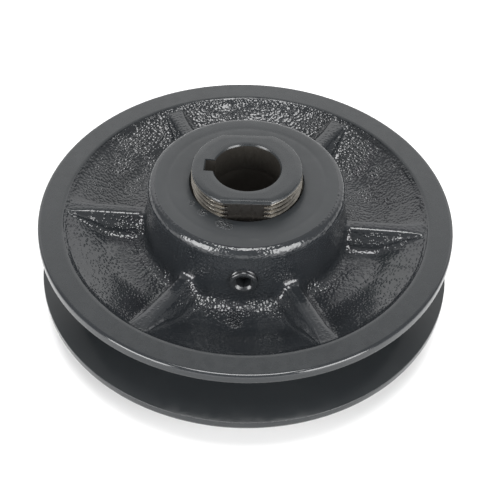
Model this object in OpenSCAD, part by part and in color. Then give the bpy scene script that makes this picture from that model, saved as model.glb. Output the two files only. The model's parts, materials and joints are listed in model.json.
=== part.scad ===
// Single-groove adjustable V-belt pulley: a fixed flange cast in one with its hub and threaded
// barrel, a moving flange screwed on the barrel, and the socket set screws that lock them.
// Z is the shaft axis and z = 0 is the end of the fixed hub. The pulley is drawn fully closed.

/* [Flanges] */
// Outside diameter of both flanges
flange_d = 120.65; // [100:0.05:140]
// Height of the cylindrical land round each flange
land_h = 2.8; // [2:0.1:4]
// Width of the belt groove at the outside diameter, flanges closed
groove_w = 17.4; // [12:0.1:20]
// Angle of each groove face from the plane of the pulley
groove_face_angle = 18; // [16:0.5:20]
// Edge rounding of the lands, as a chamfer
land_chamfer = 0.6; // [0.2:0.1:1]
// Clear gap between the two flanges where they would meet
closed_gap = 0.3; // [0.1:0.05:0.6]

/* [Webs] */
// Radius where the flat rim face ends
rim_face_r = 53.1; // [50:0.1:55]
// Radius at the foot of the step inside the rim face
step_foot_r = 51.9; // [48:0.1:52]
// Depth of that step
step_depth = 1.4; // [0.5:0.1:2]
// Radius where the sloping web turns level
web_knee_r = 39.5; // [36:0.5:44]
// Depth of the level web below the rim face
web_depth = 7.1; // [5:0.1:7.5]

/* [Ribs] */
// Ribs on the outside of each flange
rib_count = 6; // [3:1:8]
// Thickness of a rib
rib_w = 4.6; // [3:0.1:6]
// Distance from the rim face down to the top of the ribs
rib_drop = 1.0; // [0.5:0.1:3]
// Turn of the moving flange's ribs from the X axis
moving_rib_turn = -3; // [-30:0.5:30]
// Turn of the fixed flange's ribs from the X axis
fixed_rib_turn = 27; // [-30:0.5:30]

/* [Moving hub] */
// Radius of the moving hub at its parting line
moving_hub_r = 28.3; // [26:0.1:30]
// Radius of the flat face on the moving hub
moving_face_r = 25.7; // [22:0.1:26]
// Height of the moving hub's face above the rim face
moving_hub_rise = 13.3; // [10:0.1:16]
// Height of the rounded corner below the face of the moving hub
moving_corner_h = 2.7; // [1:0.1:4]
// Side draft of the cast hubs
draft = 3; // [1:0.5:5]

/* [Fixed hub and barrel] */
// Radius of the fixed hub at its end
fixed_hub_r = 22.2; // [20:0.1:25]
// Distance from the rim face out to the end of the fixed hub
fixed_hub_rise = 12.4; // [10:0.1:18]
// Outside diameter of the threaded barrel
barrel_d = 31.75; // [28:0.05:34]
// Height of the barrel's end above the face of the closed moving hub
barrel_rise = 5.3; // [3:0.1:10]
// Distance across the two flats on the barrel
flats_w = 28.3; // [26:0.1:31]
// Diameter of the shaft bore
bore_d = 19.05; // [12:0.05:20]
// Width of the keyway
key_w = 4.76; // [3:0.01:6]
// Distance from the axis to the bottom of the keyway
key_r = 11.9; // [10:0.1:12.5]
// Direction of the keyway round the axis
key_turn = 177; // [0:1:359]

/* [Thread] */
// Advance of the moving flange for one turn
thread_pitch = 1.5875; // [1:0.0125:2]
// Radial clearance between the barrel and the moving flange
thread_clearance = 0.055; // [0.02:0.005:0.08]
// Outside radius of the ring that carries the thread
ring_r = 17.5; // [17:0.1:19]
// Height of that ring
ring_h = 8; // [4:0.5:8]

/* [Set screws] */
// Diameter of the set screws
screw_d = 7.94; // [6:0.01:9]
// Length of the screw in the moving flange
flange_screw_l = 13.8; // [10:0.1:16]
// Length of the screw in the fixed hub
hub_screw_l = 9.5; // [7:0.1:10]
// Distance across the flats of the sockets
socket_af = 3.97; // [3:0.01:5]
// Depth of the sockets
socket_depth = 4; // [3:0.1:5]
// Height of the flange screw above the rim face of the moving flange
flange_screw_rise = 2.5; // [1:0.1:5]
// Distance from the end of the fixed hub to its screw
hub_screw_z = 7; // [5:0.5:9]
// Radial clearance of a screw in its tapped hole
screw_clearance = 0.04; // [0.02:0.01:0.08]
// Gap that a backed-off screw leaves to what it locks against
screw_release = 0.1; // [0.1:0.05:1]

/* [Hidden] */
$fn = 96;
eps = 0.01;
casting = [0.22, 0.24, 0.25];
bare_iron = [0.55, 0.54, 0.5];
black_steel = [0.12, 0.12, 0.13];

flange_r = flange_d / 2;
barrel_r = barrel_d / 2;
bore_r = bore_d / 2;
screw_r = screw_d / 2;
// Levels along the axis, from the end of the fixed hub upward
fixed_rim_z = fixed_hub_rise;
fixed_land_z = fixed_rim_z + land_h;
moving_land_z = fixed_land_z + groove_w;
moving_rim_z = moving_land_z + land_h;
moving_face_z = moving_rim_z + moving_hub_rise;
barrel_top_z = moving_face_z + barrel_rise;
groove_mid_z = fixed_land_z + groove_w / 2;
flange_screw_z = moving_rim_z + flange_screw_rise;
// The groove faces run in to the radius where the closed flanges meet
groove_rise = (groove_w - closed_gap) / 2;
groove_root_r = flange_r - groove_rise / tan(groove_face_angle);
moving_bore_r = barrel_r + thread_clearance;
ring_z = groove_mid_z + 2 * closed_gap;
ring_pocket_z = ring_z + ring_h + closed_gap;
corner_chamfer = 0.6;
bore_chamfer = 0.33;
barrel_chamfer = 0.5;
hub_fillet = 3;
// How far the ribs reach into the web under them and into the hub
rib_root = 1;
rib_reach = 2;
// Gap between the tip of the backed-off hub screw and the bottom of the keyway
key_screw_gap = 1;

// Outline of a flange from the hub's foot out to the root of the groove, with the rim face at
// height 0 and the groove below it
function flange_outline(hub_foot_r) = [
    [hub_foot_r + hub_fillet, -web_depth],
    [web_knee_r, -web_depth],
    [step_foot_r, -step_depth],
    [rim_face_r, 0],
    [flange_r - land_chamfer, 0],
    [flange_r, -land_chamfer],
    [flange_r, -land_h],
    [groove_root_r, -land_h - groove_rise]
];

// Hub corner, drafted side and foot, for a hub that stands hub_h above the rim face
function hub_outline(face_r, side_r, corner_h, hub_h) = [
    [face_r, hub_h],
    [side_r, hub_h - corner_h],
    [hub_foot(side_r, corner_h, hub_h), hub_fillet - web_depth]
];

// Radius at the foot of the drafted hub side
function hub_foot(side_r, corner_h, hub_h) =
    side_r + (hub_h - corner_h + web_depth - hub_fillet) * tan(draft);

// Ribs that stand on the web, from inside a hub of radius hub_r out to the rim
module ribs(hub_r, turn) {
    inner_r = hub_r - rib_reach;
    outer_r = (step_foot_r + rim_face_r) / 2;
    for (i = [0 : rib_count - 1])
        rotate([90, 0, turn + i * 360 / rib_count])
            linear_extrude(height = rib_w, center = true)
                polygon([
                    [inner_r, -web_depth - rib_root],
                    [web_knee_r, -web_depth - rib_root],
                    [outer_r, -step_depth - rib_root],
                    [outer_r, -rib_drop],
                    [inner_r, -rib_drop]
                ]);
}

// Tapped hole, or anything round, pointing outward from the axis
module radial(turn, z) {
    rotate([0, 0, turn])
        translate([0, 0, z])
            rotate([0, 90, 0])
                children();
}

// Socket set screw on the Z axis, with its tip down at z = 0
module set_screw(length) {
    tip_chamfer = 1.2;
    head_chamfer = 0.8;
    cup_r = 1.6;
    cup_depth = 0.8;
    difference() {
        rotate_extrude()
            polygon([
                [0, cup_depth],
                [cup_r, 0],
                [screw_r - tip_chamfer, 0],
                [screw_r, tip_chamfer],
                [screw_r, length - head_chamfer],
                [screw_r - head_chamfer, length],
                [0, length]
            ]);
        translate([0, 0, length - socket_depth])
            cylinder(r = socket_af / 2 / cos(30), h = socket_depth + eps, $fn = 6);
    }
}

// Fixed flange, its hub and the threaded barrel: one casting
module fixed_flange() {
    foot_r = hub_foot(fixed_hub_r, corner_chamfer, fixed_hub_rise);
    color(casting)
    difference() {
        union() {
            translate([0, 0, fixed_rim_z])
                mirror([0, 0, 1]) {
                    rotate_extrude()
                        polygon(concat(
                            [[0, fixed_hub_rise]],
                            hub_outline(fixed_hub_r - corner_chamfer, fixed_hub_r, corner_chamfer,
                                        fixed_hub_rise),
                            flange_outline(foot_r),
                            [[0, -land_h - groove_rise]]
                        ));
                    ribs(fixed_hub_r, fixed_rib_turn);
                }
            intersection() {
                cylinder_with_chamfer(barrel_r, barrel_top_z, barrel_chamfer);
                translate([-barrel_r, -flats_w / 2, 0])
                    cube([barrel_d, flats_w, barrel_top_z]);
            }
            cylinder(r = barrel_r, h = groove_mid_z - closed_gap);
        }
        bore_and_keyway();
        radial(key_turn, hub_screw_z)
            cylinder(r = screw_r + screw_clearance, h = fixed_hub_r + hub_fillet);
    }
}

// Upright cylinder with its top edge chamfered
module cylinder_with_chamfer(r, h, chamfer) {
    cylinder(r = r, h = h - chamfer);
    translate([0, 0, h - chamfer])
        cylinder(r1 = r, r2 = r - chamfer, h = chamfer);
}

// Shaft bore with chamfered mouths, and the keyway beside it
module bore_and_keyway() {
    translate([0, 0, -eps])
        cylinder(r = bore_r, h = barrel_top_z + 2 * eps);
    for (end = [0, 1])
        translate([0, 0, end * barrel_top_z])
            mirror([0, 0, end])
                translate([0, 0, -eps])
                    cylinder(r1 = bore_r + bore_chamfer + eps, r2 = bore_r, h = bore_chamfer + eps);
    rotate([0, 0, key_turn])
        translate([0, -key_w / 2, -eps])
            cube([key_r, key_w, barrel_top_z + 2 * eps]);
}

// Ring of the moving flange's thread, which follows the barrel's thread
module thread_ring() {
    color(bare_iron)
    translate([0, 0, ring_z])
        difference() {
            cylinder(r = ring_r, h = ring_h);
            translate([0, 0, -eps])
                cylinder(r = moving_bore_r, h = ring_h + 2 * eps);
        }
}

// Moving flange and its hub: one casting, bored for the barrel
module moving_flange() {
    foot_r = hub_foot(moving_hub_r, moving_corner_h, moving_hub_rise);
    hole_l = moving_hub_r + 2 * hub_fillet;
    color(casting)
    difference() {
        translate([0, 0, moving_rim_z]) {
            rotate_extrude()
                polygon(concat(
                    [[moving_bore_r, moving_hub_rise]],
                    hub_outline(moving_face_r, moving_hub_r, moving_corner_h, moving_hub_rise),
                    flange_outline(foot_r),
                    [[moving_bore_r, -land_h - groove_rise]]
                ));
            ribs(moving_hub_r, moving_rib_turn);
        }
        cylinder(r = ring_r + thread_clearance, h = ring_pocket_z);
        radial(-90, flange_screw_z)
            cylinder(r = screw_r + screw_clearance, h = hole_l);
    }
}

// Screw that locks the moving flange on a barrel flat, drawn backed off
module flange_set_screw() {
    color(black_steel)
    radial(-90, flange_screw_z)
        translate([0, 0, barrel_r + screw_release])
            set_screw(flange_screw_l);
}

// Screw over the keyway that locks the pulley on its shaft, drawn backed off
module hub_set_screw() {
    color(black_steel)
    radial(key_turn, hub_screw_z)
        translate([0, 0, key_r + key_screw_gap])
            set_screw(hub_screw_l);
}

fixed_flange();
thread_ring();
moving_flange();
flange_set_screw();
hub_set_screw();
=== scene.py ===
import json
import math

import bpy
import numpy as np
from mathutils import Matrix, Vector, noise


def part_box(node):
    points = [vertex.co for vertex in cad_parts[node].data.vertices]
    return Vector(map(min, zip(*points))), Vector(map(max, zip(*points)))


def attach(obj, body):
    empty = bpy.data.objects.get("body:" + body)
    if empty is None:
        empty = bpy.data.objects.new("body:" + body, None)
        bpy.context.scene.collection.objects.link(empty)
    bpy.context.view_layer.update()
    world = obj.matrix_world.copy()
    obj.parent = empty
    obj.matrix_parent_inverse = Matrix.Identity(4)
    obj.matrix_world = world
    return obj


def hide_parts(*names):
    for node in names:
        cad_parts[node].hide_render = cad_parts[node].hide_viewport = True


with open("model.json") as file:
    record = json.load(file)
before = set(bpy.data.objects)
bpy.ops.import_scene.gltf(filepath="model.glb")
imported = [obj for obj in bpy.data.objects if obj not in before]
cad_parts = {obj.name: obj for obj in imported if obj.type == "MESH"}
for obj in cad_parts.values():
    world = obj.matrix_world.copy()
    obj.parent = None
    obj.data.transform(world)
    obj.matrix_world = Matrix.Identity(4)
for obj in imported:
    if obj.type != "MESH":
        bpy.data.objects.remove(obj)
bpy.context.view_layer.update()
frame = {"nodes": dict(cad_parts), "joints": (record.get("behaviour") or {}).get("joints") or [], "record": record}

MM = 0.001
TAU = 2 * math.pi


# ---------------------------------------------------------------- sizes, in mm
def box_mm(name):
    """Lowest and highest corner of a CAD node."""
    return [np.array(corner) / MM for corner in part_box(name)]


moving_lo, moving_hi = box_mm("moving_flange")
fixed_hi = box_mm("fixed_flange")[1]
ring_hi = box_mm("thread_ring")[1]
flange_screw_lo, flange_screw_hi = box_mm("flange_set_screw")
hub_screw_lo, hub_screw_hi = box_mm("hub_set_screw")
joints = {j["name"]: j for j in frame["joints"]}
mounts = {m["name"]: m for m in frame["record"]["mounts"]}
hub_lock_axis = joints["hub_screw_lock"]["axis"]

# From the frame. The rim stays a hair inside the CAD box
FLANGE_R = moving_hi[0] - 0.005
MOVING_FACE_Z = moving_hi[2]
MOVING_ROOT_Z = moving_lo[2]
BARREL_TOP_Z = fixed_hi[2]
BORE_R = mounts["shaft_bore"]["dims"]["r_mm"]
GROOVE_MID_Z = mounts["belt_groove"]["pos_m"][2] / MM
PITCH = TAU * frame["record"]["behaviour"]["couplings"][0]["ratio"] / MM
FLANGE_SCREW_Z = (flange_screw_lo[2] + flange_screw_hi[2]) / 2
HUB_SCREW_Z = (hub_screw_lo[2] + hub_screw_hi[2]) / 2
FLANGE_SCREW_ANGLE = -math.pi / 2
KEY_ANGLE = math.atan2(-hub_lock_axis[1], -hub_lock_axis[0])

# Groove, rim and web of both flanges; depths are below the rim face
GROOVE_W = 17.4
LAND_H = 2.8
GROOVE_ANGLE = math.radians(18)
RIM_FACE_R = 53.1
RIM_CORNER = 0.9
GROOVE_LIP = 0.16
STEP_FOOT_R = 51.9
STEP_DEPTH = 1.4
STEP_FILLET = 1.1
# Fillet at the foot of the step, as distances from the sharp corner there
STEP_BEND = ((-0.75, -0.29), (-0.4, -0.1), (-0.1, 0.11), (0.15, 0.34))
WEB_KNEE_R = 39.5
KNEE_BLEND = 2.5
WEB_DEPTH = 7.1

# Hubs; rises are above the rim face
MOVING_HUB_R = 28.3
MOVING_HUB_RISE = 13.3
MOVING_CORNER_H = 2.7
FIXED_HUB_R = 22.2
FIXED_HUB_RISE = 12.4
FIXED_CORNER = 1.0
HUB_FILLET = 3.2
DRAFT = math.tan(math.radians(3))
# The moving hub's face: edge of its hole and its turned dip, as radii and depths, and its cast skin
HOLE_EDGE = ((16.1, 0.45), (16.35, 0.08), (16.5, 0))
HUB_DIP = ((22.0, 0.02), (22.4, 0.06), (22.8, 0.07), (23.3, 0.03), (23.9, 0), (25.0, 0))
FACE_SKIN = 0.12
CORNER_SKIN = 0.3
# Bends of the moving hub's corner: radius, angles where it starts and ends, and steps
HUB_BENDS = ((1.8, 88, 36, 9), (4.0, 36, 20, 4), (4.0, 20, 6, 3))

# Barrel, thread, bore and keyway
BARREL_R = 15.875
CREST_R = BARREL_R - 0.1
THREAD_DEPTH = 0.85
# Half of the crest and one flank, as parts of the pitch
THREAD_CREST = 1 / 16
THREAD_FLANK = 5 / 16
THREAD_GAP = 0.09
THREAD_TURNS = 2.5
RING_POCKET_R = 17.555
FLAT_Y = 14.15
FLAT_EDGE_ANGLE = math.radians(64)
KEY_W = 4.76
KEY_R = 11.9
BORE_CHAMFER = 0.33
# The moving flange hides the barrel from this height above the groove's middle up to this distance
# below the barrel's end
HIDDEN_FROM = 10.2
HIDDEN_TO = 6.8
# Fine turned step in the bore: its distance below the barrel's end, and how far it opens out
BORE_STEP_Z = 9.0
BORE_STEP = 0.05
# Rounding of the barrel's end: distance below it, cut from the crests, and cut from the flats
BARREL_EDGE = np.array([(0.8, 0.1, 0.0), (0.45, 0.15, 0.2), (0.15, 0.35, 0.48), (0.04, 0.5, 0.58)])

# Set screws
SCREW_R = 3.97
SCREW_HOLE_R = 4.01
SCREW_PITCH = 1.411
SCREW_THREAD_DEPTH = 0.7
SCREW_CORNER = 0.6
SOCKET_AF = 3.97
SOCKET_DEPTH = 4.0
HUB_SCREW_L = 9.5
HUB_SCREW_TIP_R = KEY_R + 1.0

# Ribs: thickness at two radii, and the angles of the first ones
RIB_COUNT = 6
RIB_DROP = 1.0
RIB_SPAN = (30.0, 52.0)
RIB_HALF_W = (2.25, 2.45)
MOVING_RIB_ANGLE = math.radians(-3)
FIXED_RIB_ANGLE = math.radians(-27)
# Cross-section of a rib: rounded edge, sloping side and foot fillet, out to the end of its columns
RIB_EDGE = 1.4
RIB_FOOT = 1.9
SIDE_SLOPE = 0.28
SIDE_MARGIN = 0.3
RIB_ZONE = 9.2
# The columns run straight beside the ribs between these radii, and radially outside them
COLUMN_R = (26.0, 54.0)
EDGE_ANGLES = (0, 20, 38, 56, 74)
SIDE_SHARES = (1 / 3, 2 / 3, 1)
FOOT_ANGLES = (22, 45, 68, 90)
STRIP_SHARES = (0.2, 0.45, 0.7, 1.0)
# The most of a low rib's height that its edge and its foot take
EDGE_SHARE = 0.45
FOOT_SHARE = 0.5
# Least widths of the edge and the foot, which keep the columns apart where there is no rib
EDGE_LEAST = 0.6
FOOT_LEAST = 0.8
# How a rib grows into the hub, sideways and upward, and how it widens at the rim
HUB_FLARE = 2.0
TOP_FLARE = 1.8
RIM_FLARE = 0.7
# How much smoother the cast skin is on top of the ribs, and the share of their height where that starts
RIB_CALM = 0.7
CALM_FROM = 0.8
CALM_BLEND = 1 / 6
# Sand-cast undulations: height and spacing
GRAIN = ((0.03, 1.3), (0.03, 3.5), (0.16, 11.0))

# Worked out from those
CLOSED_GAP = 2 * (MOVING_ROOT_Z - GROOVE_MID_Z)
MOVING_RIM_Z = MOVING_FACE_Z - MOVING_HUB_RISE
GROOVE_RISE = (GROOVE_W - CLOSED_GAP) / 2
GROOVE_ROOT_R = FLANGE_R - GROOVE_RISE / math.tan(GROOVE_ANGLE)
GROOVE_ROOT_DEPTH = LAND_H + GROOVE_RISE
BARREL_FOOT_Z = GROOVE_MID_Z - 1.5 * CLOSED_GAP
HUB_SIDE_END = HUB_FILLET - WEB_DEPTH

# Mesh columns, and the least angle that stays a sharp edge
MOVING_GAP_COLUMNS = 43
FIXED_GAP_COLUMNS = 33
BARREL_COLUMNS = 400
SCREW_COLUMNS = 96
CUTTER_SIDES = 64
SHARP_ANGLE = math.radians(32)

# Material slots of both castings
PAINT_CAST, PAINT_SMOOTH, PAINT_GROOVE, PAINT_HUB, IRON, BORE_IRON, FLAT_IRON = range(7)


# ---------------------------------------------------------------- curves and noise
def arc(cx, cy, r, a0, a1, steps):
    """Points along a circular arc, angles in degrees."""
    angles = [math.radians(a0 + (a1 - a0) * k / steps) for k in range(steps + 1)]
    return [(cx + r * math.cos(a), cy + r * math.sin(a)) for a in angles]


def line(a, b, steps, first=True):
    """Points from a to b in equal steps, with or without the first of them."""
    shares = [k / steps for k in range(0 if first else 1, steps + 1)]
    return [(a[0] + (b[0] - a[0]) * t, a[1] + (b[1] - a[1]) * t) for t in shares]


def smoothstep(t):
    t = np.clip(t, 0.0, 1.0)
    return t * t * (3 - 2 * t)


def grain(points, size, seed):
    """Perlin noise at each of the points (mm), with bumps about size mm apart."""
    flat = points.reshape(-1, 3) / size + seed * 17.3
    values = np.array([noise.noise(Vector(p)) for p in flat])
    return values.reshape(points.shape[:-1])


def fillet_rise(distance, radius):
    """Rise of a round fillet at a distance from the wall that it runs up to."""
    d = np.minimum(distance, radius)
    return radius - np.sqrt(radius ** 2 - (radius - d) ** 2)


def thread_profile(turns):
    """Depth of a thread at each distance along it in turns: 0 on its crest and 1 at its root."""
    off = np.abs(np.mod(turns, 1.0) - 0.5)
    return np.clip((off - THREAD_CREST) / THREAD_FLANK, 0, 1)


def thread_depth_at(theta, z):
    """Depth below the crest of the barrel's right-hand thread."""
    return THREAD_DEPTH * thread_profile(z / PITCH - theta / TAU)


def laid_out(points, direction, height):
    """Turns points that lie along X to point out along direction, at that height."""
    ca, sa = math.cos(direction), math.sin(direction)
    turn = np.array([[ca, -sa, 0], [sa, ca, 0], [0, 0, 1]])
    return points @ turn.T + np.array([0, 0, height])


# ---------------------------------------------------------------- grids to meshes
def grid_normals(p):
    """Unit normals of a grid that closes on itself both ways."""
    across = np.roll(p, -1, 1) - np.roll(p, 1, 1)
    along = np.roll(p, -1, 0) - np.roll(p, 1, 0)
    n = np.cross(across, along)
    length = np.linalg.norm(n, axis=2, keepdims=True)
    return n / np.maximum(length, 1e-9)


def outward_quads(points):
    """Quads of a grid of points that closes on itself both ways, facing out."""
    rows, cols = points.shape[:2]
    j, i = np.meshgrid(np.arange(rows), np.arange(cols), indexing="ij")
    next_i, next_j = (i + 1) % cols, (j + 1) % rows
    quads = np.stack([j * cols + i, j * cols + next_i, next_j * cols + next_i, next_j * cols + i], -1)
    quads = quads.reshape(-1, 4)
    corners = points.reshape(-1, 3)[quads]
    normals = np.cross(corners[:, 1] - corners[:, 0], corners[:, 3] - corners[:, 0])
    volume = (normals * corners[:, 0]).sum()
    return quads if volume > 0 else quads[:, ::-1]


def add_object(name, data):
    ob = bpy.data.objects.new(name, data)
    bpy.context.scene.collection.objects.link(ob)
    return ob


def make_object(name, shells, materials):
    """One mesh object from closed grids: each shell is its points in mm, material slots and cast values.

    The attribute "cast" is the strength of the cast skin on paint, and the thread's depth on iron."""
    verts, faces, mats, casts, start = [], [], [], [], 0
    for points, mat, cast in shells:
        verts.append(points.reshape(-1, 3) * MM)
        faces.append(outward_quads(points) + start)
        mats.append(mat.reshape(-1))
        casts.append(cast.reshape(-1))
        start += mat.size
    verts, faces = np.concatenate(verts), np.concatenate(faces)
    mesh = bpy.data.meshes.new(name)
    mesh.vertices.add(len(verts))
    mesh.vertices.foreach_set("co", verts.astype(np.float32).ravel())
    mesh.loops.add(faces.size)
    mesh.loops.foreach_set("vertex_index", faces.astype(np.int32).ravel())
    mesh.polygons.add(len(faces))
    mesh.polygons.foreach_set("loop_start", np.arange(0, faces.size, 4, dtype=np.int32))
    mesh.polygons.foreach_set("material_index", np.concatenate(mats).astype(np.int32))
    mesh.update(calc_edges=True)
    # On the barrel's thread the cast attribute is the thread's depth, which the iron paints as shade in its roots
    layer = mesh.attributes.new("cast", "FLOAT", "POINT")
    layer.data.foreach_set("value", np.concatenate(casts).astype(np.float32))
    for m in materials:
        mesh.materials.append(m)
    mesh.validate()
    mesh.shade_smooth()
    mesh.set_sharp_from_angle(angle=SHARP_ANGLE)
    return add_object(name, mesh)


def cut(ob, cutter):
    """Takes the closed mesh cutter out of ob, and deletes the cutter."""
    mod = ob.modifiers.new("cut", "BOOLEAN")
    mod.operation = "DIFFERENCE"
    mod.solver = "MANIFOLD"
    mod.object = cutter
    bpy.context.view_layer.update()
    done = bpy.data.meshes.new_from_object(ob.evaluated_get(bpy.context.evaluated_depsgraph_get()))
    ob.modifiers.clear()
    old = ob.data
    ob.data = done
    done.name = ob.name
    bpy.data.meshes.remove(old)
    bpy.data.objects.remove(cutter)


# ---------------------------------------------------------------- the ribbed castings
class Stations:
    """Stations (r, z) of a turned outline, each with a skin strength, a rib switch and a material slot."""

    def __init__(self):
        self.rows = []

    def add(self, points, mat, skin=0.0, ribbed=False):
        """Adds points; skin is one strength, or the strengths at the first and the last point."""
        strengths = np.linspace(*np.broadcast_to(skin, 2), len(points))
        self.rows += [(r, z, strength, float(ribbed), mat) for (r, z), strength in zip(points, strengths)]

    def columns(self):
        """Arrays of the radii, heights, skin strengths, rib switches and material slots."""
        return np.array(self.rows).T


def rib_half_section(height, half_w):
    """Half cross-section of a rib of each height: offsets from its centre line and lifts above the web."""
    h = np.maximum(height, 0.0)
    edge, foot = np.minimum(RIB_EDGE, EDGE_SHARE * h), np.minimum(RIB_FOOT, FOOT_SHARE * h)
    edge_w, foot_w = np.maximum(edge, EDGE_LEAST), np.maximum(foot, FOOT_LEAST)
    foot_y = half_w + SIDE_SLOPE * h + SIDE_MARGIN
    section = [(0 * h, h), (0.5 * (half_w - edge_w), h)]
    for a in np.radians(EDGE_ANGLES):
        section.append((half_w - edge_w * (1 - math.sin(a)), h - edge * (1 - math.cos(a))))
    for t in SIDE_SHARES:
        section.append((half_w + (foot_y - half_w) * t, (h - edge) * (1 - t) + foot * t))
    for a in np.radians(FOOT_ANGLES):
        section.append((foot_y + foot_w * (1 - math.cos(a)), foot * (1 - math.sin(a))))
    last = section[-1][0]
    section += [(last + (RIB_ZONE - last) * t, 0 * h) for t in STRIP_SHARES]
    offsets, lifts = zip(*section)
    return np.array(offsets), np.array(lifts)


class Casting:
    """A ribbed flange, turned from stations that run from the hub out over the rim and back.

    Its rim face is at height 0 and its groove is below. Columns of points run along the ribs' sides."""

    def __init__(self, rib_angle, gap_columns, side_r, side_z):
        self.rib_angle = rib_angle
        self.gap_columns = gap_columns
        self.side_r = side_r
        self.side_z = side_z

    def hub_r(self, z):
        """Radius of the hub's drafted side at each height."""
        return self.side_r + (self.side_z - z) * DRAFT

    def angles_and_lift(self, r, z, ribbed):
        """Angle of each column at each station, and how far the ribs lift it."""
        from_hub = np.maximum(r - self.hub_r(-RIB_DROP), 0)
        to_rim = np.maximum(RIB_SPAN[1] + 0.3 - r, 0)
        flare = RIM_FLARE * np.exp(-to_rim / RIM_FLARE) + fillet_rise(from_hub, HUB_FLARE)
        half_w = np.interp(r, RIB_SPAN, RIB_HALF_W) + flare * ribbed
        top = fillet_rise(from_hub, TOP_FLARE) - RIB_DROP
        height = np.where(ribbed > 0, np.maximum(top - z, 0.0), 0.0)
        offsets, lift = rib_half_section(height, half_w)
        zone = np.arcsin(offsets / np.clip(r, *COLUMN_R))
        shares = (np.arange(self.gap_columns) + 1) / (self.gap_columns + 1)
        between = zone[-1] + shares[:, None] * (TAU / RIB_COUNT - 2 * zone[-1])
        sector = np.concatenate([-zone[:0:-1], zone, between])
        sector_lift = np.concatenate([lift[:0:-1], lift, np.zeros_like(between)])
        turns = [sector + self.rib_angle + k * TAU / RIB_COUNT for k in range(RIB_COUNT)]
        return np.concatenate(turns).T, np.concatenate([sector_lift] * RIB_COUNT).T

    def turn(self, stations):
        """Angle, radius, height, skin strength and material slot of each point."""
        r, z, strength, ribbed, mat = (column[:, None] for column in stations.columns())
        theta, lift = self.angles_and_lift(r[:, 0], z[:, 0], ribbed[:, 0])
        rise = lift / np.maximum(-RIB_DROP - z, 0.5)
        calm = 1 - RIB_CALM * smoothstep((rise - CALM_FROM) / CALM_BLEND)
        skin = strength * np.where(lift > 0, calm, 1.0)
        return theta, r + 0 * theta, z + lift, skin, mat + 0 * theta

    def hub_side_stations(self, st, top, steps, skin, fillet_angles):
        """The hub's drafted side from that height down, the fillet at its foot, and the flange beyond."""
        foot_r = self.hub_r(HUB_SIDE_END)
        st.add(line(top, (foot_r, HUB_SIDE_END), steps), PAINT_CAST, skin, True)
        st.add([(foot_r + HUB_FILLET - HUB_FILLET * math.cos(a), HUB_SIDE_END - HUB_FILLET * math.sin(a))
                for a in np.radians(fillet_angles)], PAINT_CAST, 1.0, True)
        web_stations(st, foot_r + HUB_FILLET)
        rim_stations(st)
        groove_stations(st)


def cast_skin(points, strength, seed):
    """Moves the points along their normals by the sand-cast undulations."""
    used = strength.max(axis=1) > 0
    amount = np.zeros(points.shape[:2])
    waves = sum(height * grain(points[used], size, seed + k) for k, (height, size) in enumerate(GRAIN))
    amount[used] = waves * strength[used]
    return points + grid_normals(points) * amount[..., None]


def web_stations(st, hub_foot_r):
    """From the foot of the hub fillet over the web and the step to the rim's inner edge."""
    slope = (WEB_DEPTH - STEP_DEPTH) / (STEP_FOOT_R - WEB_KNEE_R)
    bend_r = WEB_KNEE_R - KNEE_BLEND
    st.add(line((hub_foot_r, -WEB_DEPTH), (bend_r, -WEB_DEPTH), 12, False), PAINT_CAST, 1.0, True)
    # The level web bends up into the slope along a parabola
    bend = [(bend_r + 2 * KNEE_BLEND * t, slope * KNEE_BLEND * t * t - WEB_DEPTH)
            for t in np.arange(1, 9) / 8]
    st.add(bend, PAINT_CAST, 1.0, True)
    slope_end = (STEP_FOOT_R - STEP_FILLET, -STEP_DEPTH - slope * STEP_FILLET)
    st.add(line(bend[-1], slope_end, 20, False), PAINT_CAST, 1.0, True)
    st.add([(STEP_FOOT_R + dr, -STEP_DEPTH + dz) for dr, dz in STEP_BEND], PAINT_CAST, 1.0, True)
    step = line((STEP_FOOT_R + 0.4, -STEP_DEPTH + 0.62), (RIM_FACE_R - 0.25, -0.3), 3)
    st.add(step, PAINT_CAST, 0.9, True)
    st.add([(RIM_FACE_R - 0.1, -0.1)], PAINT_CAST, 0.2, True)


def rim_stations(st):
    """The rim face, its outer corner and the land."""
    corner_r = FLANGE_R - RIM_CORNER
    st.add([(RIM_FACE_R + 0.12, 0)], PAINT_SMOOTH)
    st.add(line((RIM_FACE_R + 1, 0), (corner_r - 0.3, 0), 4), PAINT_SMOOTH)
    st.add(arc(corner_r, -RIM_CORNER, RIM_CORNER, 90, 15, 7), PAINT_CAST)
    st.add([(FLANGE_R, -RIM_CORNER), (FLANGE_R, -RIM_CORNER - 0.1)], PAINT_GROOVE)
    st.add([(FLANGE_R, -LAND_H + GROOVE_LIP + 0.5)], PAINT_GROOVE)


def groove_stations(st):
    """The groove's rounded lip and its face down to the root."""
    lip_r = FLANGE_R - GROOVE_LIP
    lip_z = -LAND_H + GROOVE_LIP * math.tan((math.pi / 2 - GROOVE_ANGLE) / 2)
    run = math.tan(GROOVE_ANGLE)
    st.add(arc(lip_r, lip_z, GROOVE_LIP, 0, math.degrees(GROOVE_ANGLE) - 90, 4), PAINT_SMOOTH)
    st.add([(lip_r, -LAND_H - GROOVE_LIP * run)], PAINT_GROOVE)
    st.add(line((FLANGE_R - 1, -LAND_H - run), (GROOVE_ROOT_R + 0.4, -GROOVE_ROOT_DEPTH + 0.4 * run), 8),
           PAINT_GROOVE)
    st.add([(GROOVE_ROOT_R - 0.2, -GROOVE_ROOT_DEPTH)], PAINT_GROOVE)


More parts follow.
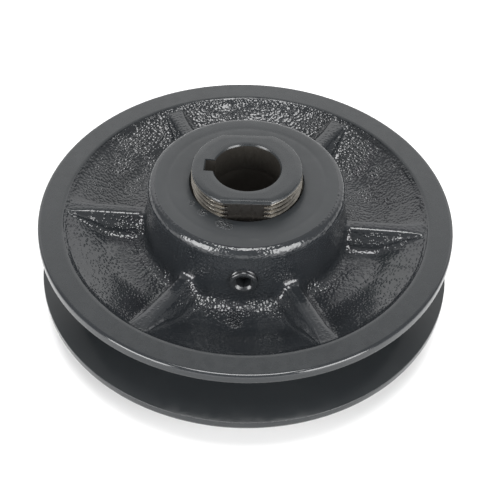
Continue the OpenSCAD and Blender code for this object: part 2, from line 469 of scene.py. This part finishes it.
def moving_hub_stations(st, corner_r, corner_z):
    """The hub face with its shallow turned dip, and the rounded corner down to the parting line."""
    top = MOVING_HUB_RISE
    st.add([(r, top - depth) for r, depth in HOLE_EDGE], PAINT_HUB)
    st.add(line((18.5, top), (21.5, top), 3), PAINT_HUB, FACE_SKIN)
    st.add([(r, top - depth) for r, depth in HUB_DIP], PAINT_HUB, FACE_SKIN)
    bends = [(radius, math.radians(a0), math.radians(a1)) for radius, a0, a1, _ in HUB_BENDS]
    at_r = corner_r - sum(radius * (math.cos(a1) - math.cos(a0)) for radius, a0, a1 in bends)
    at_z = corner_z + sum(radius * (math.sin(a0) - math.sin(a1)) for radius, a0, a1 in bends)
    st.add([(at_r, at_z)], PAINT_CAST, CORNER_SKIN)
    for radius, a0, a1, steps in HUB_BENDS:
        start = math.radians(a0)
        bend = arc(at_r - radius * math.cos(start), at_z - radius * math.sin(start), radius, a0, a1, steps)
        st.add(bend[1:], PAINT_CAST, CORNER_SKIN)
        at_r, at_z = bend[-1]
    # The parting line stands out a little
    st.add([(corner_r + 0.12, corner_z - 0.1), (corner_r + 0.02, corner_z - 0.35)], PAINT_CAST, CORNER_SKIN)


def moving_flange(materials):
    corner_r, corner_z = MOVING_HUB_R, MOVING_HUB_RISE - MOVING_CORNER_H
    casting = Casting(MOVING_RIB_ANGLE, MOVING_GAP_COLUMNS, corner_r, corner_z)
    st = Stations()
    moving_hub_stations(st, corner_r, corner_z)
    casting.hub_side_stations(st, (corner_r + 0.04, corner_z - 0.7), 20, (0.6, 1.0),
                              (12, 24, 36, 48, 60, 72, 82, 90))
    # Underside, pocket of the thread ring, and the threaded hole
    root = -GROOVE_ROOT_DEPTH
    pocket_top = ring_hi[2] + CLOSED_GAP - MOVING_RIM_Z
    bore = BARREL_R + THREAD_GAP
    thread_top = MOVING_HUB_RISE - 0.7
    st.add([(RING_POCKET_R + 8, root), (RING_POCKET_R + 0.3, root)], PAINT_GROOVE)
    st.add([(RING_POCKET_R, root + 0.3), (RING_POCKET_R, pocket_top)], IRON)
    st.add([(bore, pocket_top), (bore, pocket_top + 2)], IRON)
    first = len(st.rows)
    st.add(line((bore, thread_top - THREAD_TURNS * PITCH), (bore, thread_top), 30), IRON)
    theta, r, z, skin, mat = casting.turn(st)
    z = z + MOVING_RIM_Z
    fade = smoothstep((np.arange(len(r)) - first) / 5)
    r = r - thread_depth_at(theta, z) * fade[:, None]
    points = cast_skin(np.stack([r * np.cos(theta), r * np.sin(theta), z], -1), skin, seed=3)
    return make_object("moving_flange_casting", [(points, mat, skin)], materials)


def bore_path(theta):
    """Outline of the bore with its keyway: x and y at each column angle."""
    x, y = BORE_R * np.cos(theta), BORE_R * np.sin(theta)
    half = math.asin(KEY_W / 2 / BORE_R)
    away = np.mod(theta - KEY_ANGLE + math.pi, TAU) - math.pi
    in_key = np.nonzero(np.abs(away) < half)[0]
    in_key = in_key[np.argsort(away[in_key])]
    # Out along one wall, across the bottom, and back along the other wall
    wall = max(len(in_key) // 4, 2)
    bottom = len(in_key) - 2 * wall
    out = np.linspace(BORE_R * math.cos(half), KEY_R, wall)
    share = np.arange(1, bottom + 1) / (bottom + 1)
    u = np.concatenate([out, np.full(bottom, KEY_R), out[::-1]])
    v = KEY_W * (np.concatenate([np.zeros(wall), share, np.ones(wall)]) - 0.5)
    ca, sa = math.cos(KEY_ANGLE), math.sin(KEY_ANGLE)
    x[in_key] = ca * u - sa * v
    y[in_key] = sa * u + ca * v
    return x, y


def bore_rows(theta, rows):
    """Rows of points round the bore and keyway; each row is its height and how far it opens out."""
    x, y = bore_path(theta)
    r = np.hypot(x, y)
    return np.array([np.stack([x * (r + spread) / r, y * (r + spread) / r, np.full_like(x, z)], -1)
                     for z, spread in rows])


def fixed_casting_shell():
    """The fixed flange and its hub, up to the foot of the barrel, built rim face up and turned over."""
    corner_r, corner_z = FIXED_HUB_R - FIXED_CORNER, FIXED_HUB_RISE - FIXED_CORNER
    casting = Casting(FIXED_RIB_ANGLE, FIXED_GAP_COLUMNS, FIXED_HUB_R, corner_z)
    st = Stations()
    st.add(line((12.6, FIXED_HUB_RISE), (corner_r - 0.3, FIXED_HUB_RISE), 6), PAINT_SMOOTH)
    st.add(arc(corner_r, corner_z, FIXED_CORNER, 90, 0, 6), PAINT_SMOOTH)
    side_top = corner_z - 0.4
    casting.hub_side_stations(st, (casting.hub_r(side_top), side_top), 16, (0.4, 1.0),
                              (15, 30, 45, 60, 75, 90))
    st.add([(RING_POCKET_R + 8, -GROOVE_ROOT_DEPTH), (BARREL_R, -GROOVE_ROOT_DEPTH)], PAINT_GROOVE)
    theta, r, z, skin, mat = casting.turn(st)
    points = np.stack([r * np.cos(theta), -r * np.sin(theta), FIXED_HUB_RISE - z], -1)
    points = cast_skin(points, skin, seed=9)
    rows = [(BARREL_FOOT_Z, 0), (BARREL_FOOT_Z * 0.7, 0), (BARREL_FOOT_Z * 0.4, 0), (BORE_CHAMFER, 0),
            (0, BORE_CHAMFER)]
    bore = bore_rows(-theta[-1], rows)
    points = np.concatenate([points, bore])
    mat = np.concatenate([mat, np.full(bore.shape[:2], BORE_IRON)])
    skin = np.concatenate([skin, np.zeros(bore.shape[:2])])
    return points, mat, skin


def barrel_columns(count):
    """Angles of the barrel's columns, closer together where the flats cut through the thread."""
    at = np.linspace(0, TAU, 4001)
    from_x = np.abs(np.mod(at + math.pi / 2, math.pi) - math.pi / 2)
    to_edge = np.abs(from_x - FLAT_EDGE_ANGLE)
    density = 1 + 2.2 * smoothstep((math.radians(9) - to_edge) / math.radians(3))
    share = np.concatenate([[0], np.cumsum((density[1:] + density[:-1]) / 2)])
    return np.interp(np.arange(count) * share[-1] / count, share, at)


def barrel_shell():
    """The barrel: thread, flats, end face, bore and keyway."""
    theta = barrel_columns(BARREL_COLUMNS)
    # Threaded rows below and above the moving flange, which hides the barrel between them
    low_top, high_foot = GROOVE_MID_Z + HIDDEN_FROM, BARREL_TOP_Z - HIDDEN_TO
    low = np.arange(BARREL_FOOT_Z + 1.0, low_top, PITCH / 8)
    high = np.arange(high_foot, BARREL_TOP_Z - 0.85, PITCH / 12)
    below, crest_cut, flat_cut = BARREL_EDGE.T
    plain, edge = np.zeros(2), np.zeros(len(BARREL_EDGE))
    rows_z = np.concatenate([[BARREL_FOOT_Z, BARREL_FOOT_Z + 0.5], low, high, BARREL_TOP_Z - below])
    low_fade = smoothstep(low - BARREL_FOOT_Z - 1.0) * smoothstep(low_top - low)
    fade = np.concatenate([plain, low_fade, smoothstep(high - high_foot), edge])
    straight = np.zeros(len(rows_z) - len(BARREL_EDGE))
    crest_r = CREST_R - np.concatenate([straight, crest_cut])
    flat_y = FLAT_Y - np.concatenate([straight, flat_cut])
    th, z = np.meshgrid(theta, rows_z)
    depth = thread_depth_at(th, z) * fade[:, None]
    r = crest_r[:, None] - depth
    flat_r = flat_y[:, None] / np.maximum(np.abs(np.sin(th)), 1e-6)
    on_flat = (flat_r < r) & (z >= GROOVE_MID_Z + 0.5)
    r = np.where(on_flat, flat_r, r)
    outer = np.stack([r * np.cos(th), r * np.sin(th), z], -1)

    # End face, from its outer edge in to the bore's chamfer
    rim_r = np.minimum(CREST_R - 0.6, (FLAT_Y - 0.66) / np.maximum(np.abs(np.sin(theta)), 1e-6))
    end_z = np.full_like(theta, BARREL_TOP_Z)
    face_edge = np.stack([rim_r * np.cos(theta), rim_r * np.sin(theta), end_z], -1)
    bore_edge = np.stack([*(1.035 * v for v in bore_path(theta)), end_z], -1)
    top = np.array([face_edge * (1 - t) + bore_edge * t for t in (0, 0.3, 0.7, 0.97)])

    # Chamfer, then the bore down to the foot of the barrel
    chamfer = [(BARREL_TOP_Z - 0.03, 0.31), (BARREL_TOP_Z - 0.2, 0.2)]
    step_z = BARREL_TOP_Z - BORE_STEP_Z
    walls = [(BARREL_TOP_Z - 0.45, 0), (step_z, 0), (step_z - 0.2, BORE_STEP), (step_z - 0.6, BORE_STEP),
             (step_z - 0.8, 0), (BARREL_FOOT_Z + 6, 0), (BARREL_FOOT_Z, 0)]
    points = np.concatenate([outer, top, bore_rows(theta, chamfer + walls)])
    painted_from = len(rows_z) - len(BARREL_EDGE)
    bore_from = len(rows_z) + len(top) + len(chamfer)
    mat = np.full(points.shape[:2], IRON)
    mat[:len(rows_z)][on_flat] = FLAT_IRON
    mat[painted_from:bore_from] = PAINT_SMOOTH
    mat[bore_from:] = BORE_IRON
    cast = np.zeros(points.shape[:2])
    # The thread's depth, which the thread iron turns into painted shade in its roots
    cast[:len(rows_z)] = np.where(on_flat, 0, depth / THREAD_DEPTH)
    return points, mat, cast


def cylinder_cutter(name, r, start, end, direction, height):
    """A closed rod from start to end mm from the axis, that points out along direction at that height."""
    sides = CUTTER_SIDES
    a = np.arange(sides) * TAU / sides
    rims = np.array([np.stack([np.full(sides, x), r * np.cos(a), r * np.sin(a)], -1) for x in (start, end)])
    verts = laid_out(rims, direction, height).reshape(-1, 3) * MM
    faces = [(k, (k + 1) % sides, sides + (k + 1) % sides, sides + k) for k in range(sides)]
    faces.append(tuple(range(sides))[::-1])
    faces.append(tuple(range(sides, 2 * sides)))
    mesh = bpy.data.meshes.new(name)
    mesh.from_pydata(verts.tolist(), [], faces)
    return add_object(name, mesh)


def set_screw(name, length, tip_r, direction, height, materials):
    """Socket set screw with a cup point, its own thread and a hexagon socket, lying along direction."""
    a = np.arange(SCREW_COLUMNS) * TAU / SCREW_COLUMNS
    hexagon = SOCKET_AF / 2 / np.cos(np.mod(a + math.pi / 6, math.pi / 3) - math.pi / 6)
    rows = []

    def ring(r, h):
        rows.append(np.stack([h + 0 * a, r * np.cos(a), r * np.sin(a)], -1))

    # Cup point
    ring(0.02, 1.0)
    ring(1.5, 0.35)
    ring(1.75, 0.0)
    ring(2.3, 0.0)
    # Thread, cut back to a cone at the point
    steps = int(length / SCREW_PITCH * 10)
    for k in range(steps + 1):
        h = 0.25 + (length - 1.25) * k / steps
        r = SCREW_R - SCREW_THREAD_DEPTH * thread_profile(h / SCREW_PITCH - a / TAU)
        ring(np.minimum(r, 2.45 + h * 0.9), h)
    # Rounded outer end
    for h, r in arc(length - SCREW_CORNER, SCREW_R - SCREW_CORNER - 0.02, SCREW_CORNER, 90, 0, 5):
        ring(r, h)
    ring(2.95, length)
    ring(2.75, length - 0.12)
    # Socket
    ring(np.maximum(hexagon, 2.25) + 0.1, length - 0.5)
    ring(hexagon + 0.02, length - 0.7)
    ring(hexagon, length - 0.9)
    ring(hexagon, length - SOCKET_DEPTH)
    ring(hexagon * 0.5, length - SOCKET_DEPTH - 0.5)
    ring(0.02, length - SOCKET_DEPTH - 0.8)
    points = laid_out(np.array(rows) + np.array([tip_r, 0, 0]), direction, height)
    zeros = np.zeros(points.shape[:2])
    return make_object(name, [(points, zeros, zeros)], materials)


# ---------------------------------------------------------------- shader nodes
def new_material(name):
    m = bpy.data.materials.new(name)
    m.use_nodes = True
    return m, m.node_tree, m.node_tree.nodes["Principled BSDF"]


def mix_colour(tree, share, a, b):
    n = tree.nodes.new("ShaderNodeMix")
    n.data_type = "RGBA"
    n.inputs["A"].default_value = (*a, 1)
    n.inputs["B"].default_value = (*b, 1)
    tree.links.new(share, n.inputs["Factor"])
    return n.outputs["Result"]


def scaled(tree, value, lo, hi, from_lo=0.3, from_hi=0.7, shape="LINEAR"):
    """Maps from_lo to lo and from_hi to hi, and stops there."""
    n = tree.nodes.new("ShaderNodeMapRange")
    n.interpolation_type = shape
    n.inputs["From Min"].default_value = from_lo
    n.inputs["From Max"].default_value = from_hi
    n.inputs["To Min"].default_value = lo
    n.inputs["To Max"].default_value = hi
    tree.links.new(value, n.inputs["Value"])
    return n.outputs["Result"]


def calculate(tree, operation, *values):
    """Output of a math node whose inputs are numbers or other nodes' outputs."""
    n = tree.nodes.new("ShaderNodeMath")
    n.operation = operation
    for socket, value in zip(n.inputs, values):
        if isinstance(value, (int, float)):
            socket.default_value = value
        else:
            tree.links.new(value, socket)
    return n.outputs[0]


def coordinates(tree):
    return tree.nodes.new("ShaderNodeTexCoord").outputs["Object"]


def separated(tree, co):
    n = tree.nodes.new("ShaderNodeSeparateXYZ")
    tree.links.new(co, n.inputs[0])
    return n.outputs


def axis_distance_squared(tree, x, y):
    return calculate(tree, "ADD", calculate(tree, "MULTIPLY", x, x), calculate(tree, "MULTIPLY", y, y))


def noise_of(tree, co, size_mm, detail=2.0, rough=0.5):
    n = tree.nodes.new("ShaderNodeTexNoise")
    n.inputs["Scale"].default_value = 1 / (size_mm * MM)
    n.inputs["Detail"].default_value = detail
    n.inputs["Roughness"].default_value = rough
    tree.links.new(co, n.inputs["Vector"])
    return n.outputs["Fac"]


def cells(tree, co, size_mm):
    """Distance to the nearest of many scattered points, in cells of that size."""
    n = tree.nodes.new("ShaderNodeTexVoronoi")
    n.inputs["Scale"].default_value = 1 / (size_mm * MM)
    tree.links.new(co, n.inputs["Vector"])
    return n.outputs["Distance"]


def bump(tree, height, distance_mm, strength=1.0, normal=None):
    n = tree.nodes.new("ShaderNodeBump")
    n.inputs["Distance"].default_value = distance_mm * MM
    if isinstance(strength, (int, float)):
        n.inputs["Strength"].default_value = strength
    else:
        tree.links.new(strength, n.inputs["Strength"])
    tree.links.new(height, n.inputs["Height"])
    if normal is not None:
        tree.links.new(normal, n.inputs["Normal"])
    return n.outputs["Normal"]


def cast_attribute(tree):
    n = tree.nodes.new("ShaderNodeAttribute")
    n.attribute_name = "cast"
    return n.outputs["Fac"]


# ---------------------------------------------------------------- materials
PEBBLE_SIZE = 0.85
DOME_HEIGHT = 0.24
BUMP_HEIGHT = 0.11
# The crowded domes fade in from front to back, and fade out from the foot of the hub
DOMES_FROM_Y, DOMES_TO_Y = -16, 18
DOMES_FROM_R, DOMES_TO_R = 31.5, 37
# Blistered spots in the paint: x, y, z and radius
HUB_BLISTERS = [(-15.1, -9.7, MOVING_FACE_Z, 1.3), (-11.8, -13.2, MOVING_FACE_Z, 1.7),
                (-6.3, -17.3, MOVING_FACE_Z, 2.2), (-4.5, -18.3, MOVING_FACE_Z, 1.8)]
WEB_BLISTERS = [(-2.1, -35.2, MOVING_RIM_Z - WEB_DEPTH, 3.0), (-2.1, -32.8, MOVING_RIM_Z - WEB_DEPTH, 1.8)]


def pebbles(tree, co):
    """Height in mm of the sand-cast skin: crowded domes at the back and by the hub, and small bumps."""
    x, y, _ = separated(tree, co)
    reach = cells(tree, co, PEBBLE_SIZE)
    domes = calculate(tree, "MULTIPLY", calculate(tree, "MULTIPLY", reach, reach), -DOME_HEIGHT)
    back = scaled(tree, y, 0, 1, DOMES_FROM_Y * MM, DOMES_TO_Y * MM, "SMOOTHSTEP")
    hub = scaled(tree, axis_distance_squared(tree, x, y), 1, 0, (DOMES_FROM_R * MM) ** 2,
                 (DOMES_TO_R * MM) ** 2, "SMOOTHSTEP")
    crowded = calculate(tree, "MULTIPLY", domes, calculate(tree, "MAXIMUM", back, hub))
    bumps = scaled(tree, reach, BUMP_HEIGHT, 0, 0.08, 0.55, "SMOOTHSTEP")
    return calculate(tree, "ADD", crowded, bumps)


def turned_marks(tree, co, size_mm):
    """Noise that depends only on the distance from the axis and the height."""
    x, y, z = separated(tree, co)
    comb = tree.nodes.new("ShaderNodeCombineXYZ")
    tree.links.new(calculate(tree, "SQRT", axis_distance_squared(tree, x, y)), comb.inputs[0])
    tree.links.new(z, comb.inputs[1])
    return noise_of(tree, comb.outputs[0], size_mm, 1.0)


def blistered(tree, co, spots):
    """Height of the wrinkles in the blistered spots, and 0 outside them."""
    mask = 0.0
    for *middle, radius in spots:
        away = tree.nodes.new("ShaderNodeVectorMath")
        away.operation = "DISTANCE"
        tree.links.new(co, away.inputs[0])
        away.inputs[1].default_value = [v * MM for v in middle]
        spot = scaled(tree, away.outputs["Value"], 1, 0, 0.4 * radius * MM, radius * MM, "SMOOTHSTEP")
        mask = calculate(tree, "MAXIMUM", mask, spot)
    wrinkles = calculate(tree, "ABSOLUTE", calculate(tree, "SUBTRACT", noise_of(tree, co, 0.9, 1.0), 0.5))
    return calculate(tree, "MULTIPLY", wrinkles, mask)


def paint_material(name, base, light, rough, grainy, shine=0.5, blisters=()):
    """Slate-grey paint, over the sand-cast skin where it is grainy, and over turned metal elsewhere."""
    m, tree, shader = new_material(name)
    shader.inputs["Specular IOR Level"].default_value = shine
    co = coordinates(tree)
    tree.links.new(mix_colour(tree, scaled(tree, noise_of(tree, co, 9, 3), 0, 1), base, light),
                   shader.inputs["Base Color"])
    tree.links.new(scaled(tree, noise_of(tree, co, 2.5, 3), rough - 0.05, rough + 0.07),
                   shader.inputs["Roughness"])
    if grainy:
        patches = scaled(tree, noise_of(tree, co, 5, 2.0), 0.25, 1.0)
        strength = calculate(tree, "MULTIPLY", cast_attribute(tree), patches)
        normal = bump(tree, pebbles(tree, co), 1.0, strength)
        normal = bump(tree, noise_of(tree, co, 2.4, 1.0), 0.03, 0.5, normal)
    else:
        normal = bump(tree, turned_marks(tree, co, 0.9), 0.003, 0.6)
        normal = bump(tree, noise_of(tree, co, 2.0, 1), 0.012, 0.6, normal)
    if blisters:
        normal = bump(tree, blistered(tree, co, blisters), 2.4, 1.0, normal)
    tree.links.new(normal, shader.inputs["Normal"])
    return m


def iron_material(name, crest, root, rough, metallic=1.0, pits_mm=0.006, shine=0.5):
    """Machined iron: painted shade darkens it towards a thread's roots, with stains, pits and turned marks."""
    m, tree, shader = new_material(name)
    shader.inputs["Metallic"].default_value = metallic
    shader.inputs["Specular IOR Level"].default_value = shine
    co = coordinates(tree)
    stain = scaled(tree, noise_of(tree, co, 1.6, 4, 0.6), 0, 0.25, 0.35, 0.65)
    # Painted shade: the thread's depth mixes in the root colour towards the thread's roots, and the stains mix it
    # in too
    dark = calculate(tree, "MAXIMUM", scaled(tree, cast_attribute(tree), 0, 1, 0.4, 0.9), stain)
    tree.links.new(mix_colour(tree, dark, crest, root), shader.inputs["Base Color"])
    tree.links.new(scaled(tree, noise_of(tree, co, 0.9, 3), rough - 0.08, rough + 0.12),
                   shader.inputs["Roughness"])
    normal = bump(tree, turned_marks(tree, co, 0.3), 0.006, 0.6)
    tree.links.new(bump(tree, noise_of(tree, co, 0.35, 3), pits_mm, 0.6, normal), shader.inputs["Normal"])
    return m


def steel_material(name, dark, light):
    """Black oxide steel."""
    m, tree, shader = new_material(name)
    shader.inputs["Metallic"].default_value = 0.85
    co = coordinates(tree)
    tree.links.new(mix_colour(tree, scaled(tree, noise_of(tree, co, 1.2, 3), 0, 1), dark, light),
                   shader.inputs["Base Color"])
    tree.links.new(scaled(tree, noise_of(tree, co, 0.8, 2), 0.26, 0.42), shader.inputs["Roughness"])
    tree.links.new(bump(tree, noise_of(tree, co, 0.25, 2), 0.012, 0.5), shader.inputs["Normal"])
    return m


paint_cast = paint_material("paint_cast", (0.0105, 0.0120, 0.0138), (0.0135, 0.0152, 0.0172), 0.11, True,
                            blisters=WEB_BLISTERS)
paint_smooth = paint_material("paint_smooth", (0.0105, 0.0122, 0.0137), (0.0130, 0.0150, 0.0166), 0.26,
                              False)
paint_groove = paint_material("paint_groove", (0.0142, 0.0160, 0.0174), (0.0160, 0.0178, 0.0192), 0.16,
                              False, shine=0.25)
paint_hub = paint_material("paint_hub", (0.0125, 0.0145, 0.0162), (0.0160, 0.0182, 0.0200), 0.38, False,
                           blisters=HUB_BLISTERS)
painted_steel = paint_material("painted_steel", (0.0100, 0.0112, 0.0124), (0.0140, 0.0152, 0.0164), 0.20,
                               False)
# Crest colour, and a root colour that paints shade into the barrel's thread roots and colours the stains
thread_iron = iron_material("thread_iron", (0.23, 0.216, 0.192), (0.035, 0.031, 0.026), 0.26)
bore_iron = iron_material("bore_iron", (0.032, 0.029, 0.025), (0.017, 0.015, 0.0125), 0.40, metallic=0.3,
                          pits_mm=0.01)
flat_iron = iron_material("flat_iron", (0.011, 0.0100, 0.009), (0.006, 0.0052, 0.0045), 0.32, metallic=0.0,
                          pits_mm=0.13, shine=0.4)
black_steel = steel_material("black_steel", (0.030, 0.031, 0.034), (0.075, 0.075, 0.08))
# In the order of the castings' material slots
casting_materials = [paint_cast, paint_smooth, paint_groove, paint_hub, thread_iron, bore_iron, flat_iron]

# ---------------------------------------------------------------- pieces
moving = moving_flange(casting_materials)
cut(moving, cylinder_cutter("cutter_moving", SCREW_HOLE_R, 10, MOVING_HUB_R + 6, FLANGE_SCREW_ANGLE,
                            FLANGE_SCREW_Z))
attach(moving, "moving_half")
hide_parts("moving_flange")

fixed = make_object("fixed_flange_casting", [fixed_casting_shell(), barrel_shell()], casting_materials)
cut(fixed, cylinder_cutter("cutter_fixed", SCREW_HOLE_R, 5, FIXED_HUB_R + 6, KEY_ANGLE, HUB_SCREW_Z))
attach(fixed, "fixed_half")
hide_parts("fixed_flange")

flange_screw = set_screw("flange_set_screw_detail", flange_screw_hi[1] - flange_screw_lo[1],
                         -flange_screw_hi[1], FLANGE_SCREW_ANGLE, FLANGE_SCREW_Z, [painted_steel])
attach(flange_screw, "flange_lock")
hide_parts("flange_set_screw")

hub_screw = set_screw("hub_set_screw_detail", HUB_SCREW_L, HUB_SCREW_TIP_R, KEY_ANGLE, HUB_SCREW_Z,
                      [black_steel])
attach(hub_screw, "hub_lock")
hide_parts("hub_set_screw")

# The thread ring's CAD mesh is kept, with this script's own material
ring_node = frame["nodes"]["thread_ring"]
ring_node.data.materials.clear()
ring_node.data.materials.append(thread_iron)

# ---------------------------------------------------------------- floor, light and camera
AIM = Vector((0, 0, MOVING_FACE_Z * MM))
FLOOR_HALF = 4.0
FLOOR_WHITE = 0.84
ROOM = 0.5
BACKDROP = 1.65
# Light of the backdrop at each height on the sky, as parts of BACKDROP
BACKDROP_LIGHT = [(0.0, 0.5), (1.0, 0.1), (0.35, 0.65), (0.63, 1.0), (0.70, 0.74), (0.74, 0.46),
                  (0.77, 0.12), (0.87, 0.1)]
# Name, azimuth, elevation, distance, size and radiance of each softbox
SOFTBOXES = [("left", -137, 14, 0.7, (0.37, 0.42), 12), ("right", -47, 17, 0.7, (0.37, 0.50), 11),
             ("top", -90, 81, 1.0, (0.50, 0.50), 12)]
# Point that the camera looks at, in mm, a little in front of the pulley's middle
CAMERA_TARGET = Vector((1.52, -6.01, 26.78)) * MM
CAMERA_ELEVATION = math.radians(45.915)
CAMERA_ROLL = math.radians(-1.742)
CAMERA_DISTANCE = 0.39797
CAMERA_LENS = 97.81


def make_floor():
    s = FLOOR_HALF
    mesh = bpy.data.meshes.new("floor")
    mesh.from_pydata([(-s, -s, 0), (s, -s, 0), (s, s, 0), (-s, s, 0)], [], [(0, 1, 2, 3)])
    paper, _, shader = new_material("floor_paper")
    shader.inputs["Base Color"].default_value = (FLOOR_WHITE, FLOOR_WHITE, FLOOR_WHITE, 1)
    shader.inputs["Roughness"].default_value = 0.9
    shader.inputs["Specular IOR Level"].default_value = 0.0
    mesh.materials.append(paper)
    add_object("floor", mesh)


def make_world():
    """Dim room with a pale backdrop behind the pulley, soft at its sides and its top."""
    world = bpy.data.worlds.new("studio")
    world.use_nodes = True
    bpy.context.scene.world = world
    tree = world.node_tree
    x, y, z = separated(tree, tree.nodes.new("ShaderNodeTexCoord").outputs["Generated"])
    level = calculate(tree, "SQRT", axis_distance_squared(tree, x, y))
    side = scaled(tree, calculate(tree, "DIVIDE", y, level), 0, 1, 0.38, 0.68)
    ramp = tree.nodes.new("ShaderNodeValToRGB")
    tree.links.new(z, ramp.inputs[0])
    stops = ramp.color_ramp.elements
    for k, (height, light) in enumerate(BACKDROP_LIGHT):
        stop = stops[k] if k < 2 else stops.new(height)
        stop.position = height
        stop.color = (light, light, light, 1)
    backdrop = calculate(tree, "MULTIPLY", side, calculate(tree, "MULTIPLY", ramp.outputs[0], BACKDROP))
    tree.links.new(calculate(tree, "ADD", backdrop, ROOM), tree.nodes["Background"].inputs["Color"])


def softbox(name, azimuth, elevation, distance, size, radiance):
    """Rectangular light that faces the pulley; azimuth and elevation in degrees, sizes in metres."""
    a, e = math.radians(azimuth), math.radians(elevation)
    direction = Vector((math.cos(a) * math.cos(e), math.sin(a) * math.cos(e), math.sin(e)))
    data = bpy.data.lights.new(name, "AREA")
    data.shape = "RECTANGLE"
    data.size, data.size_y = size
    data.energy = radiance * math.pi * size[0] * size[1]
    ob = add_object(name, data)
    ob.location = AIM + direction * distance
    ob.rotation_euler = (-direction).to_track_quat("-Z", "Y").to_euler()


def make_camera():
    """The camera stands in front of the pulley and above it."""
    cos_e, sin_e = math.cos(CAMERA_ELEVATION), math.sin(CAMERA_ELEVATION)
    cos_r, sin_r = math.cos(CAMERA_ROLL), math.sin(CAMERA_ROLL)
    right, up, back = Vector((1, 0, 0)), Vector((0, sin_e, cos_e)), Vector((0, -cos_e, sin_e))
    data = bpy.data.cameras.new("camera")
    data.lens = CAMERA_LENS
    data.sensor_width = 36
    data.clip_start = 0.01
    ob = add_object("camera", data)
    pose = Matrix((cos_r * right - sin_r * up, sin_r * right + cos_r * up, back)).transposed().to_4x4()
    pose.translation = CAMERA_TARGET + back * CAMERA_DISTANCE
    ob.matrix_world = pose
    bpy.context.scene.camera = ob


make_floor()
make_world()
for settings in SOFTBOXES:
    softbox(*settings)
make_camera()
bpy.context.scene.view_settings.view_transform = "Standard"
